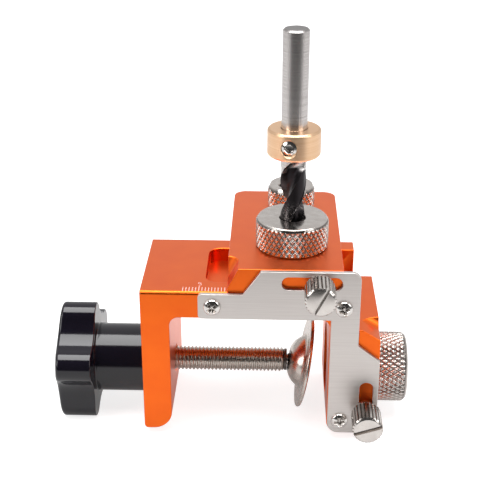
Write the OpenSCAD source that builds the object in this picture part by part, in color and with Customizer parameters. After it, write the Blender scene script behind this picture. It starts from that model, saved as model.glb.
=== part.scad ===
// Doweling jig: an orange C-shaped clamp frame, two sliding guide blocks with
// drill bushes, a star-knob clamp screw with a swivel pad, and a drill with its collar.
// Lengths are in millimetres. Pieces are drawn from the frame's front top left
// corner: X to the right, Y away from the front, Z up. placed() then moves them to the
// part's own origin, at the middle of the bottom of the box round it.

/* [Frame] */
// Width of the C-shaped frame
frame_w = 68; // [66:0.5:74]
// Height of the frame
frame_h = 50; // [49:0.5:58]
// Depth of the frame, front to back
frame_d = 39.5; // [38:0.5:46]
// Thickness of both legs
leg_t = 9; // [8:0.5:10]
// Thickness of the bridge across the top
bridge_t = 9; // [8:0.5:11]
// Fillet in the two upper corners of the clamp gap
gap_fillet_r = 3; // [1:0.5:4]
// Rounding of the left leg's inner bottom corner
left_toe_r = 6; // [3:0.5:7]
// Rounding of the right leg's inner bottom corner
right_toe_r = 3.5; // [2:0.5:5]
// Bevel along the frame's two long top edges
frame_bevel = 0.7; // [0.3:0.1:1]

/* [Groove and slots] */
// Width of the groove that both guide blocks run in
groove_w = 25; // [24:0.5:28]
// Depth of the groove
groove_depth = 4.5; // [4:0.1:5]
// Groove left past the furthest place of the top block's tongue
groove_past = 1.25; // [0.75:0.25:3]
// Corner radius at the groove's closed ends
groove_corner_r = 4; // [3:0.5:5]
// Metal left under the leg's groove and slot
groove_floor = 2.45; // [2:0.05:3]
// Width of the slot in the bridge that the drill passes through
drill_slot_w = 10; // [9:0.5:12]
// Width of the slot in the right leg for the side drill
leg_slot_w = 16; // [15.5:0.1:18]

/* [Cover plate] */
// Thickness of the plate
plate_t = 1.5; // [1:0.1:2]
// Reach of the plate along the bridge, from the frame's right face
plate_reach = 49.9; // [48:0.1:54]
// Height of the strip across the bridge
plate_strip_h = 8.4; // [7.5:0.1:9]
// From the frame's right face to the foot of the upper diagonal
plate_diag_in = 36.1; // [34:0.1:38]
// Run of the upper diagonal
plate_diag_run = 5.6; // [4:0.1:7]
// Start of the outer diagonal, below the frame's top
plate_side_z = 17.2; // [15:0.1:19]
// Drop of the outer diagonal
plate_side_drop = 5.6; // [4:0.1:7]
// How far the plate stays back from the right leg's inner face
plate_inset = 0.2; // [0.1:0.1:1]
// How far the plate stays above the frame's bottom
plate_lift = 0.6; // [0.2:0.1:1.5]
// Radius of the plate's upper right corner
plate_top_r = 2.75; // [1:0.25:4]
// Radius of the plate's lower left corner
plate_toe_r = 3.5; // [1:0.5:4.5]
// Radius of the plate's small corners
plate_end_r = 1.2; // [0.5:0.1:2]
// Width of both slots in the plate
plate_slot_w = 4.4; // [4.3:0.05:4.8]
// Length of the upper slot
top_slot_l = 18.6; // [17:0.1:20]
// Right end of the upper slot, from the frame's right face
top_slot_end = 5.6; // [4.5:0.1:7]
// Upper end of the side slot, below the frame's top
side_slot_top = 30.5; // [30:0.1:33]
// Length of the side slot
side_slot_l = 13.4; // [13:0.1:13.5]

/* [Plate screws] */
// Diameter of the plate screws' thread
plate_screw_d = 3; // [2.5:0.1:3.5]
// Diameter of the plate screws' pan heads
plate_screw_head_d = 5.4; // [4.8:0.1:6]
// Height of the pan heads
plate_screw_head_h = 1.7; // [1.2:0.1:2]
// Length of thread in the frame
plate_screw_l = 5; // [4:0.5:7]
// From the plate's left end to the first screw
plate_screw_in = 4.4; // [3.8:0.1:6]
// From the frame's right face to the other two screws
plate_screw_side = 4.9; // [4.2:0.1:5.2]
// From the plate's bottom to the lowest screw
plate_screw_up = 4.7; // [4:0.1:7]

/* [Guide blocks] */
// Length of the top block
top_block_l = 35.5; // [35:0.5:37]
// Depth of the top block
top_block_d = 64; // [62:1:72]
// Thickness of the top block above the frame
top_block_t = 8; // [7.5:0.5:10]
// From the top block's right end to the frame's right face
top_block_back = 5.35; // [5:0.05:6]
// Radius of the top block's back corners
top_block_r = 4; // [2:0.5:6]
// Length of the side block
side_block_l = 36.4; // [36:0.1:38]
// Thickness of the side block beyond the frame
side_block_t = 7; // [6.5:0.5:9]
// From the frame's top down to the side block
side_block_drop = 12.6; // [12:0.1:14]
// Radius of the side block's back corners
side_block_r = 1.5; // [1:0.5:3]
// Height of the toe that the corner relief leaves
toe_h = 1.4; // [1:0.1:3]
// Run of the relief's slope along the block
relief_run = 3.4; // [2:0.1:5]
// Depth of the relief from the front
relief_d = 9.3; // [7:0.1:11]
// Radius at the back of the relief
relief_r = 3.4; // [2:0.1:4.5]
// From a block's left or upper end to its tongue
tongue_in = 3.4; // [3:0.1:4]
// From the side block's lower end to its tongue
tongue_up = 3.4; // [3.3:0.1:6]
// Clearance on each side of a tongue
tongue_gap = 0.08; // [0.05:0.01:0.3]
// Clearance under a tongue
tongue_under = 0.2; // [0.1:0.05:0.4]

/* [Guide bushes] */
// Diameter of the two top bores, for an 8 mm drill
bore_d = 8.1; // [8.06:0.02:8.2]
// Diameter of the side bore, for a 15 mm drill
side_bore_d = 15; // [12:0.5:15]
// Diameter of the front and side bushes
bush_d = 23; // [21:0.5:25]
// Height of the front bush above its block
front_bush_h = 9.66; // [8:0.1:11]
// Height of the side bush beyond its block
side_bush_h = 10.5; // [8:0.1:12]
// Diameter of the rear bush
rear_bush_d = 16; // [14:0.5:18]
// Height of the rear bush above the block
rear_bush_h = 8.2; // [7:0.1:10]
// Diameter of the front bush's shank
front_shank_d = 14; // [12:0.5:16]
// Diameter of the side bush's shank
side_shank_d = 17.6; // [17:0.1:17.8]
// Diameter of the rear bush's shank
rear_shank_d = 12; // [11:0.5:13]
// From the top block's right end to its bores
bush_in = 15.65; // [15:0.05:16.5]
// How far the front and side bores lie before the middle of the groove
bush_fore = 0.75; // [0:0.25:1.5]
// From the top block's back end to the rear bore
rear_bush_back = 13; // [10:0.5:13]
// From the side block's lower end to the side bore
side_bush_up = 12.6; // [12:0.1:14]
// Chamfer at the bushes' outer edges
bush_bevel = 1; // [0.5:0.1:1.4]
// Chamfer at the mouths of the front and side bores
mouth_bevel = 0.4; // [0.2:0.1:0.8]
// Chamfer at the mouth of the rear bore
rear_mouth_bevel = 0.9; // [0.4:0.1:1.2]

/* [Thumb screws] */
// Diameter of the thumb screws' thread
thumb_thread_d = 4; // [3.5:0.1:4.1]
// Diameter of the knurled heads
thumb_head_d = 9.5; // [8.5:0.1:10.5]
// Length of the knurled heads
thumb_head_l = 9.6; // [8:0.1:11]
// Diameter of the shoulder behind each head
thumb_shoulder_d = 6.4; // [5.8:0.1:8]
// Length of the shoulder
thumb_shoulder_l = 2.5; // [2:0.1:3.5]
// Length of thread in the block
thumb_l = 7.5; // [5:0.5:8]
// Width of the screwdriver slot
thumb_slot_w = 1.2; // [0.8:0.1:1.6]
// Depth of the screwdriver slot
thumb_slot_d = 1.3; // [0.8:0.1:2]
// Height of the top thumb screw above the frame
top_thumb_z = 4.1; // [3.9:0.05:4.4]
// From the top block's right end to its thumb screw
top_thumb_in = 7.35; // [7:0.05:7.8]
// From the frame's right face out to the side thumb screw
side_thumb_out = 3.2; // [2.9:0.05:3.5]
// From the side block's lower end to its thumb screw
side_thumb_up = 8.7; // [8.4:0.1:9.4]
// Turn of the top thumb screw's slot
top_thumb_turn = 63; // [0:1:180]
// Turn of the side thumb screw's slot
side_thumb_turn = 19; // [0:1:180]

/* [Drill] */
// Diameter of the drill
drill_d = 8; // [7.9:0.02:8]
// Top of the shank above the frame
drill_top = 77.5; // [70:0.5:90]
// Tip of the drill below the frame's top
drill_tip = 18.6; // [15:0.1:18.8]
// Run of flutes above the tip
flute_l = 53; // [48:1:55]
// Web left between the flutes
drill_web = 2; // [1.4:0.1:2.6]
// Point angle of the tip
point_angle = 118; // [100:1:140]
// Helix angle of the flutes
helix_angle = 30; // [20:1:35]
// Chamfer on top of the shank
shank_bevel = 0.5; // [0.2:0.1:1]

/* [Stop collar] */
// Diameter of the collar
collar_d = 16.5; // [15:0.5:18]
// Height of the collar
collar_h = 8.6; // [8:0.1:10]
// Underside of the collar above the frame
collar_z = 38.5; // [36:0.5:50]
// Chamfer round the collar
collar_bevel = 0.7; // [0.3:0.1:1]
// Diameter of the grub screw
grub_d = 5; // [4:0.5:5]
// Length of the grub screw
grub_l = 3.8; // [3:0.1:4]
// Width of the grub screw's hexagon socket, across flats
grub_socket = 2.5; // [2:0.1:2.6]
// Turn of the grub screw to the left of the front
grub_turn = 12; // [0:1:40]

/* [Clamp] */
// Diameter of the clamp screw
rod_d = 8; // [7:0.2:8]
// Axis of the clamp screw below the frame's top
rod_drop = 35; // [34.8:0.1:35.6]
// From the end of the rod's full thread to the fixed jaw
rod_clear = 13.8; // [13.4:0.1:14.5]
// Length of the rod inside the knob
rod_in_knob = 14; // [10:0.5:16]
// Diameter of the ball on the rod's end
ball_d = 5.9; // [5:0.1:5.9]
// From the rod's end to the middle of the ball
ball_out = 3.6; // [3.6:0.1:4]
// Diameter of the neck behind the ball
neck_d = 3.6; // [3:0.1:3.7]
// Diameter of the ring on the neck
ring_d = 7.2; // [6:0.1:7.4]
// Thickness of the ring
ring_t = 0.9; // [0.6:0.1:1]
// Diameter of the swivel pad
pad_d = 30.8; // [28:0.2:31]
// Thickness of the pad's flange
pad_flange_t = 1.3; // [1:0.1:1.8]
// From the middle of the ball to the pad's face
pad_face_out = 3.9; // [3.9:0.1:4.6]
// Diameter of the pad's dome where it meets the flange
dome_d = 17.6; // [16:0.2:19]
// Diameter of the dome's mouth round the neck
dome_mouth_d = 7.8; // [7.4:0.1:8]
// How far the pad droops from square
pad_droop = 9.5; // [8:0.5:9.5]
// Radius from the knob's axis to the tip of a lobe
knob_r = 19.9; // [19:0.1:22]
// Radius of each lobe's tip
lobe_r = 5.4; // [4.5:0.1:6]
// Radius of the hollows between the lobes
hollow_r = 11.6; // [9:0.1:14]
// Number of lobes
lobes = 5; // [4:1:6]
// Height of the dome on the knob's outer face
knob_dome = 1; // [0.5:0.1:1.5]
// Thickness of the knob's head
knob_head_t = 12; // [10:0.5:15]
// Rounding of the head's edges
knob_round = 1.8; // [1:0.1:2.5]
// Diameter of the knob's hub
hub_d = 22.6; // [20:0.2:24]
// Length of the hub
hub_l = 16.4; // [14:0.1:18]
// Gap from the hub to the frame
hub_gap = 0.6; // [0.4:0.1:1]
// Diameter of the metal insert in the hub
insert_d = 12; // [11:0.5:14]
// Length of the insert
insert_l = 11; // [8:0.5:12]

/* [Hidden] */
$fn = 96;

// Overrun of a cut past the face it opens
over = 1;
// Gap between faces that slide on each other
slide_gap = 0.05;
// Radial clearance of a turning or threaded fit
fit_gap = 0.05;
// Clearance of the rod in the frame's threaded bore
rod_gap = 0.08;
// Clearance between the ball and its socket
ball_gap = 0.05;
// Countersink round the rod's bore
rod_sink = 0.8;
// Depth and width of the cross recess in a pan head, and its wall's share of the head
cross_d = 1;
cross_w = 0.8;
cross_share = 0.56;
// Depth of the grub screw's socket
grub_socket_d = 2;
// Wall between the pad's socket and its face that the ball leaves
mouth_gap = 0.75;
// Facets along the drill's helix for each turn, and round its section
flute_steps = 28;
flute_sides = 16;
// Widening of the flute's circle over the drill's radius, as a share
flute_share = 0.78;

// Places worked out from the sizes above
mid_y = frame_d / 2;
bush_y = mid_y - bush_fore;
jaw_x = frame_w - leg_t;
rod_end = jaw_x - rod_clear;
top_block_x = frame_w - top_block_back - top_block_l;
top_bush_x = frame_w - top_block_back - bush_in;
rear_bush_y = top_block_d - rear_bush_back;
top_thumb_x = frame_w - top_block_back - top_thumb_in;
side_block_low = side_block_drop + side_block_l;
side_bush_z = -side_block_low + side_bush_up;
side_thumb_x = frame_w + side_thumb_out;
side_thumb_z = -side_block_low + side_thumb_up;
plate_right = frame_w + side_block_t;
plate_low = frame_h - plate_lift;
plate_left = frame_w - plate_reach;
plate_diag_x = frame_w - plate_diag_in;
arm_left = jaw_x + plate_inset;
slot_r = plate_slot_w / 2;
top_slot_right = frame_w - top_slot_end;
top_slot_left = top_slot_right - top_slot_l;
side_slot_low = side_slot_top + side_slot_l;

// Travel of both blocks, set by their thumb screws in the plate's slots
top_left_travel = top_thumb_x - top_slot_left - slot_r;
top_right_travel = top_slot_right - slot_r - top_thumb_x;
side_up_travel = -side_slot_top - slot_r - side_thumb_z;
side_down_travel = side_thumb_z + side_slot_low - slot_r;
groove_start = top_block_x + tongue_in - top_left_travel - groove_past;

ball_x = rod_end + ball_out;
socket_r = ball_d / 2 + ball_gap;
mouth_r = neck_d / 2 + mouth_gap;
mouth_out = ball_out - ring_t - 3 * slide_gap - ring_d / 2 * sin(pad_droop);
lobe_at = knob_r - lobe_r;
half_pitch = 180 / lobes;
hollow_at = lobe_at * cos(half_pitch)
            + sqrt(pow(lobe_r + hollow_r, 2) - pow(lobe_at * sin(half_pitch), 2));
lobe_sweep = half_pitch + asin(lobe_at * sin(half_pitch) / (lobe_r + hollow_r));
lobe_turns = [for (i = [0:lobes - 1]) 180 + i * 2 * half_pitch];
knob_low = max([for (a = lobe_turns) lobe_at * cos(a) + lobe_r]);
knob_x = -hub_gap - hub_l - knob_head_t;
collar_wall_r = collar_d / 2;
thumb_out = plate_t + slide_gap + thumb_shoulder_l + thumb_head_l;

// The middle of the bottom of the box round the whole part
part_x = (knob_x - knob_dome + plate_right + side_bush_h) / 2;
part_y = (top_block_d - thumb_out) / 2;
part_z = -rod_drop - knob_low;

// Points along an arc about [cx, cy], from the angle a to the angle b
function arc(r, a, b, cx, cy, steps = 8) =
    [for (i = [0:steps]) [cx + r * cos(a + (b - a) * i / steps), cy + r * sin(a + (b - a) * i / steps)]];

module placed() translate([-part_x, -part_y, -part_z]) children();

// A flat outline drawn in X and Z, given a thickness from y to y + t
module upright(y, t) translate([0, y + t, 0]) rotate([90, 0, 0]) linear_extrude(t) children();

// The waste outside a rounded corner, with the corner at the origin and metal above and right
module corner_waste(r) {
    difference() {
        translate([-over, -over]) square(r + over);
        translate([r, r]) circle(r);
    }
}

// The waste outside a bevel c along a top edge, which runs from x = 0 to x = run at y = 0
module edge_waste(run, c)
    translate([-over, 0, 0]) rotate([90, 0, 90]) linear_extrude(run + 2 * over)
        polygon([[-over, over], [-over, -c - over], [c + over, over]]);

module frame_outline() {
    gap_w = jaw_x - leg_t;
    difference() {
        translate([0, -frame_h]) square([frame_w, frame_h]);
        difference() {
            translate([leg_t, -frame_h - over]) square([gap_w, frame_h + over - bridge_t]);
            translate([leg_t, -bridge_t]) mirror([0, 1]) corner_waste(gap_fillet_r);
            translate([jaw_x, -bridge_t]) rotate(180) corner_waste(gap_fillet_r);
        }
        translate([leg_t, -frame_h]) mirror([1, 0]) corner_waste(left_toe_r);
        translate([0, -frame_h]) corner_waste(plate_end_r);
        translate([jaw_x, -frame_h]) corner_waste(right_toe_r);
        translate([frame_w, -frame_h]) mirror([1, 0]) corner_waste(plate_end_r);
    }
}

// The groove's waste: closed and rounded at x = 0, open past x = run, surface at z = 0
module groove_waste(run) {
    side = groove_w / 2;
    translate([0, 0, -groove_depth]) linear_extrude(groove_depth + over) difference() {
        translate([0, -side]) square([run + over, groove_w]);
        translate([0, -side]) corner_waste(groove_corner_r);
        translate([0, side]) mirror([0, 1]) corner_waste(groove_corner_r);
    }
}

// A slot with round ends, cut down through z from top to bottom
module long_slot(x0, x1, w, top, bottom) translate([0, 0, bottom]) linear_extrude(top - bottom) {
    translate([x0, -w / 2]) square([x1 - x0, w]);
    for (x = [x0, x1]) translate([x, 0]) circle(w / 2);
}

// Everything cut in the right leg's outer face is drawn as for the top face, then turned
module on_side() translate([frame_w, 0, 0]) rotate([0, 90, 0]) mirror([1, 0, 0]) children();

module plate_screw_places() {
    for (p = [[plate_left + plate_screw_in, -plate_strip_h / 2],
              [frame_w - plate_screw_side, -plate_strip_h / 2],
              [frame_w - plate_screw_side, -plate_low + plate_screw_up]])
        translate([p[0], 0, p[1]]) rotate([90, 0, 0]) children();
}

module c_frame() {
    side_run = frame_h - groove_floor;
    color("darkorange") placed() difference() {
        upright(0, frame_d) frame_outline();
        translate([groove_start, mid_y, 0]) groove_waste(frame_w - groove_start);
        on_side() translate([-side_run, mid_y, 0]) groove_waste(side_run);
        translate([0, bush_y, 0])
            long_slot(top_bush_x - top_left_travel, top_bush_x + top_right_travel, drill_slot_w,
                      over, -bridge_t - over);
        on_side() translate([0, bush_y, 0])
            long_slot(side_bush_z - side_down_travel, side_bush_z + side_up_travel, leg_slot_w,
                      over, -leg_t - over);
        translate([-over, mid_y, -rod_drop]) rotate([0, 90, 0])
            cylinder(r = rod_d / 2 + rod_gap, h = leg_t + 2 * over);
        for (x = [0, leg_t]) translate([x, mid_y, -rod_drop]) rotate([0, x > 0 ? 90 : -90, 0])
            translate([0, 0, -rod_sink])
                cylinder(r1 = rod_d / 2 + rod_gap, r2 = rod_d / 2 + rod_gap + rod_sink + over,
                         h = rod_sink + over);
        plate_screw_places() translate([0, 0, -plate_screw_l - over])
            cylinder(r = plate_screw_d / 2, h = plate_screw_l + 2 * over);
        edge_waste(frame_w, frame_bevel);
        translate([0, frame_d, 0]) mirror([0, 1, 0]) edge_waste(frame_w, frame_bevel);
    }
}

module plate_outline() {
    tall = plate_low - plate_strip_h;
    difference() {
        polygon([[plate_left, 0], [plate_diag_x, 0],
                 [plate_diag_x + plate_diag_run, top_block_t], [frame_w, top_block_t],
                 [frame_w, -plate_side_z], [plate_right, -plate_side_z - plate_side_drop],
                 [plate_right, -plate_low], [arm_left, -plate_low],
                 [arm_left, -plate_strip_h], [plate_left, -plate_strip_h]]);
        translate([plate_left, 0]) mirror([0, 1]) corner_waste(plate_end_r);
        translate([plate_left, -plate_strip_h]) corner_waste(plate_end_r);
        translate([frame_w, top_block_t]) rotate(180) corner_waste(plate_top_r);
        translate([arm_left, -plate_low]) corner_waste(plate_toe_r);
        translate([plate_right, -plate_low]) mirror([1, 0]) corner_waste(plate_end_r);
        translate([top_slot_left + slot_r, top_thumb_z - slot_r])
            square([top_slot_l - plate_slot_w, plate_slot_w]);
        for (x = [top_slot_left + slot_r, top_slot_right - slot_r])
            translate([x, top_thumb_z]) circle(slot_r);
        translate([side_thumb_x - slot_r, slot_r - side_slot_low])
            square([plate_slot_w, side_slot_l - plate_slot_w]);
        for (z = [slot_r - side_slot_low, -side_slot_top - slot_r])
            translate([side_thumb_x, z]) circle(slot_r);
    }
}

module l_cover_plate() {
    color("silver") placed() difference() {
        upright(-plate_t, plate_t) plate_outline();
        plate_screw_places() translate([0, 0, -over])
            cylinder(r = plate_screw_d / 2 + fit_gap, h = plate_t + 2 * over);
    }
}

// A pan-head screw along z, with its seat at z = 0
module pan_screw() {
    head_r = plate_screw_head_d / 2;
    cross_l = 2 * cross_share * head_r;
    difference() {
        union() {
            translate([0, 0, -plate_screw_l - plate_t])
                cylinder(r = plate_screw_d / 2 - fit_gap, h = plate_screw_l + plate_t);
            rotate_extrude()
                polygon([[0, 0], [head_r, 0], [head_r, plate_screw_head_h / 2],
                         [head_r * cross_share, plate_screw_head_h], [0, plate_screw_head_h]]);
        }
        for (a = [45, 135]) rotate(a)
            translate([-cross_l / 2, -cross_w / 2, plate_screw_head_h - cross_d])
                cube([cross_l, cross_w, cross_d + over]);
    }
}

module plate_screws() {
    color("gainsboro") placed() plate_screw_places() translate([0, 0, plate_t]) pan_screw();
}

// A guide block lying on the plane z = 0, with its relieved corner at the origin and its
// length along x. The tongue hangs below, from tongue_in to tongue_end.
module guide_block(len, depth, thick, back_r, tongue_end) {
    slope = atan2(relief_run, thick - toe_h);
    reach = len + thick;
    tongue_r = groove_corner_r + tongue_gap;
    half = groove_w / 2 - tongue_gap;
    drop = groove_depth - tongue_under;
    difference() {
        translate([0, slide_gap, slide_gap]) cube([len, depth - slide_gap, thick - slide_gap]);
        translate([0, 0, toe_h]) rotate([0, slope, 0]) translate([0, 0, -reach])
            linear_extrude(2 * reach) difference() {
                translate([-reach, -over]) square([reach, relief_d + over]);
                translate([0, relief_d]) rotate(180) corner_waste(relief_r);
            }
        for (x = [0, len]) translate([x, depth, -over]) mirror([x > 0 ? 1 : 0, 0, 0])
            mirror([0, 1, 0]) linear_extrude(thick + 2 * over) corner_waste(back_r);
    }
    difference() {
        translate([tongue_in, mid_y - half, -drop])
            cube([tongue_end - tongue_in, 2 * half, drop + over]);
        for (s = [0, 1], e = [0, 1])
            translate([e > 0 ? tongue_end : tongue_in, mid_y + (2 * s - 1) * half, -drop - over])
                mirror([e, 0, 0]) mirror([0, s, 0]) linear_extrude(drop + over)
                    corner_waste(tongue_r);
    }
}

// The waste of a threaded hole for a thumb screw, from the front face
module thumb_hole(x, z)
    translate([x, 0, z]) rotate([90, 0, 0]) translate([0, 0, -thumb_l - over])
        cylinder(r = thumb_thread_d / 2 + fit_gap, h = thumb_l + 2 * over);

// The waste of a bush's seat, down through a block
module bush_seat(shank_d)
    translate([0, 0, -groove_depth - over])
        cylinder(r = shank_d / 2 + fit_gap, h = groove_depth + top_block_t + side_block_t);

module top_guide_block() {
    color("darkorange") placed() difference() {
        translate([top_block_x, 0, 0])
            guide_block(top_block_l, top_block_d, top_block_t, top_block_r, top_block_l);
        translate([top_bush_x, bush_y, 0]) bush_seat(front_shank_d);
        translate([top_bush_x, rear_bush_y, 0]) bush_seat(rear_shank_d);
        thumb_hole(top_thumb_x, top_thumb_z);
    }
}

module side_guide_block() {
    color("darkorange") placed() difference() {
        translate([frame_w, 0, -side_block_drop]) rotate([0, 90, 0])
            guide_block(side_block_l, frame_d, side_block_t, side_block_r,
                        side_block_l - tongue_up);
        translate([frame_w, bush_y, side_bush_z]) rotate([0, 90, 0]) bush_seat(side_shank_d);
        thumb_hole(side_thumb_x, side_thumb_z);
    }
}

// A flanged drill bush standing on z = 0, with its shank below
module guide_bush(head_d, head_h, shank_d, shank_l, hole_d, mouth) {
    head_r = head_d / 2;
    hole_r = hole_d / 2;
    difference() {
        union() {
            rotate_extrude()
                polygon([[0, 0], [head_r - bush_bevel / 2, 0], [head_r, bush_bevel / 2],
                         [head_r, head_h - bush_bevel], [head_r - bush_bevel, head_h],
                         [0, head_h]]);
            translate([0, 0, -shank_l]) cylinder(r = shank_d / 2, h = shank_l + bush_bevel / 2);
        }
        translate([0, 0, -shank_l - over]) cylinder(r = hole_r, h = shank_l + head_h + 2 * over);
        translate([0, 0, head_h - mouth])
            cylinder(r1 = hole_r, r2 = hole_r + mouth + over, h = mouth + over);
    }
}

module front_guide_bush() {
    color("lightgray") placed() translate([top_bush_x, bush_y, top_block_t])
        guide_bush(bush_d, front_bush_h, front_shank_d,
                   top_block_t + groove_depth - tongue_under, bore_d, mouth_bevel);
}

module rear_guide_bush() {
    color("lightgray") placed() translate([top_bush_x, rear_bush_y, top_block_t])
        guide_bush(rear_bush_d, rear_bush_h, rear_shank_d, top_block_t - slide_gap, bore_d,
                   rear_mouth_bevel);
}

module side_guide_bush() {
    color("lightgray") placed()
        translate([frame_w + side_block_t, bush_y, side_bush_z]) rotate([0, 90, 0])
            guide_bush(bush_d, side_bush_h, side_shank_d,
                       side_block_t + groove_depth - tongue_under, side_bore_d, mouth_bevel);
}

// A knurled thumb screw along z, with its shoulder's seat at z = 0
module thumb_screw(turn) {
    head_r = thumb_head_d / 2;
    top = thumb_shoulder_l + thumb_head_l;
    edge = thumb_slot_d / 2;
    difference() {
        union() {
            translate([0, 0, -thumb_l - plate_t])
                cylinder(r = thumb_thread_d / 2, h = thumb_l + plate_t + over);
            cylinder(r = thumb_shoulder_d / 2, h = top - over);
            rotate_extrude()
                polygon([[0, thumb_shoulder_l], [head_r - edge, thumb_shoulder_l],
                         [head_r, thumb_shoulder_l + edge], [head_r, top - edge],
                         [head_r - edge, top], [0, top]]);
        }
        rotate(turn) translate([-thumb_head_d, -thumb_slot_w / 2, top - thumb_slot_d])
            cube([2 * thumb_head_d, thumb_slot_w, thumb_slot_d + over]);
    }
}

module top_thumb_screw() {
    color("lightgray") placed() translate([top_thumb_x, -plate_t - slide_gap, top_thumb_z])
        rotate([90, 0, 0]) thumb_screw(top_thumb_turn);
}

module side_thumb_screw() {
    color("lightgray") placed() translate([side_thumb_x, -plate_t - slide_gap, side_thumb_z])
        rotate([90, 0, 0]) thumb_screw(side_thumb_turn);
}

// One cross section of the drill: two lands joined by a web, with a flute each side
module drill_section() {
    r = drill_d / 2;
    flute_r = r * flute_share;
    difference() {
        circle(r, $fn = flute_sides);
        for (s = [-1, 1]) translate([s * (drill_web / 2 + flute_r), 0])
            circle(flute_r, $fn = flute_sides);
    }
}

module drill_bit() {
    r = drill_d / 2;
    point_h = r / tan(point_angle / 2);
    lead = PI * drill_d / tan(helix_angle);
    shank_l = drill_top + drill_tip - flute_l;
    color("dimgray") placed() translate([top_bush_x, bush_y, -drill_tip]) {
        intersection() {
            linear_extrude(flute_l, twist = -360 * flute_l / lead,
                           slices = round(flute_steps * flute_l / lead))
                drill_section();
            union() {
                cylinder(r1 = 0, r2 = r, h = point_h);
                translate([0, 0, point_h]) cylinder(r = r, h = flute_l - point_h);
            }
        }
        translate([0, 0, flute_l]) rotate_extrude()
            polygon([[0, 0], [r, 0], [r, shank_l - shank_bevel], [r - shank_bevel, shank_l],
                     [0, shank_l]]);
    }
}

module stop_collar() {
    bore_r = bore_d / 2;
    color("goldenrod") placed() translate([top_bush_x, bush_y, collar_z]) difference() {
        rotate_extrude()
            polygon([[bore_r, 0], [collar_wall_r - collar_bevel, 0],
                     [collar_wall_r, collar_bevel], [collar_wall_r, collar_h - collar_bevel],
                     [collar_wall_r - collar_bevel, collar_h], [bore_r, collar_h]]);
        translate([0, 0, collar_h / 2]) rotate([90, 0, -grub_turn])
            cylinder(r = grub_d / 2, h = collar_d);
    }
}

module collar_grub_screw() {
    color("slategray") placed() translate([top_bush_x, bush_y, collar_z + collar_h / 2])
        rotate([90, 0, -grub_turn]) translate([0, 0, bore_d / 2]) difference() {
            cylinder(r = grub_d / 2 - fit_gap, h = grub_l);
            translate([0, 0, grub_l - grub_socket_d])
                cylinder(r = grub_socket / sqrt(3), h = grub_socket_d + over, $fn = 6);
        }
}

// Pieces on the clamp screw are drawn along z from the frame's left face, then laid along x
module on_rod() translate([0, mid_y, -rod_drop]) rotate([0, 90, 0]) children();

module clamp_screw() {
    r = rod_d / 2;
    start = -hub_gap - rod_in_knob;
    color("silver") placed() on_rod() {
        translate([0, 0, start]) rotate_extrude()
            polygon([[0, 0], [r - rod_sink, 0], [r, rod_sink],
                     [r, rod_end - start - rod_sink], [r - rod_sink, rod_end - start],
                     [0, rod_end - start]]);
        translate([0, 0, rod_end - over]) cylinder(r = neck_d / 2, h = ball_out + over);
        translate([0, 0, ball_x]) sphere(r = ball_d / 2);
    }
}

module pad_neck_ring() {
    color("dimgray") placed() on_rod() translate([0, 0, rod_end + slide_gap]) difference() {
        cylinder(r = ring_d / 2, h = ring_t);
        translate([0, 0, -over]) cylinder(r = neck_d / 2 + fit_gap, h = ring_t + 2 * over);
    }
}

module swivel_pad() {
    pad_r = pad_d / 2;
    dome_r = dome_d / 2;
    flange_back = pad_face_out - pad_flange_t;
    mouth_z = -mouth_out;
    rise = flange_back - mouth_z;
    color("silver") placed() on_rod() translate([0, 0, ball_x]) rotate([0, pad_droop, 0])
        difference() {
            rotate_extrude()
                polygon(concat([[0, mouth_z]],
                    [for (i = [0:8]) [dome_mouth_d / 2 + (dome_r - dome_mouth_d / 2) * sin(90 * i / 8),
                                      mouth_z + rise * (1 - cos(90 * i / 8))]],
                    [[pad_r - pad_flange_t / 4, flange_back],
                     [pad_r, flange_back + pad_flange_t / 4],
                     [pad_r, pad_face_out - pad_flange_t / 4],
                     [pad_r - pad_flange_t / 4, pad_face_out], [0, pad_face_out]]));
            sphere(r = socket_r);
            translate([0, 0, mouth_z - over]) cylinder(r = mouth_r, h = mouth_out + over);
        }
}

// Each lobe's tip is an arc, and runs on into the hollow beside it
module knob_outline()
    polygon([for (a = lobe_turns)
        each concat(arc(lobe_r, a - lobe_sweep, a + lobe_sweep, lobe_at * cos(a), lobe_at * sin(a)),
                    [for (q = arc(hollow_r, 180 + lobe_sweep - half_pitch, 180 - lobe_sweep + half_pitch,
                                  hollow_at, 0))
                        [q[0] * cos(a + half_pitch) - q[1] * sin(a + half_pitch),
                         q[0] * sin(a + half_pitch) + q[1] * cos(a + half_pitch)]])]);

module star_knob() {
    rim = knob_r - knob_round;
    color([0.08, 0.08, 0.09]) placed() on_rod() translate([0, 0, knob_x]) difference() {
        union() {
            intersection() {
                translate([0, 0, -knob_dome]) linear_extrude(knob_head_t + knob_dome) knob_outline();
                rotate_extrude()
                    polygon(concat(
                        [for (i = [0:4]) [rim * i / 5, -knob_dome * (1 - pow(i / 5, 2))]],
                        arc(knob_round, -90, 0, rim, knob_round),
                        arc(knob_round, 0, 90, rim, knob_head_t - knob_round),
                        [[0, knob_head_t]]));
            }
            translate([0, 0, knob_head_t - over]) cylinder(r = hub_d / 2, h = hub_l + over);
        }
        translate([0, 0, knob_head_t + hub_l - insert_l])
            cylinder(r = insert_d / 2, h = insert_l + over);
        translate([0, 0, knob_head_t + hub_l - rod_in_knob - slide_gap])
            cylinder(r = rod_d / 2 + fit_gap, h = rod_in_knob);
    }
}

module knob_insert() {
    color("goldenrod") placed() on_rod() translate([0, 0, -hub_gap - insert_l]) difference() {
        cylinder(r = insert_d / 2 - slide_gap, h = insert_l);
        translate([0, 0, -over]) cylinder(r = rod_d / 2 + slide_gap, h = insert_l + 2 * over);
    }
}

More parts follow.
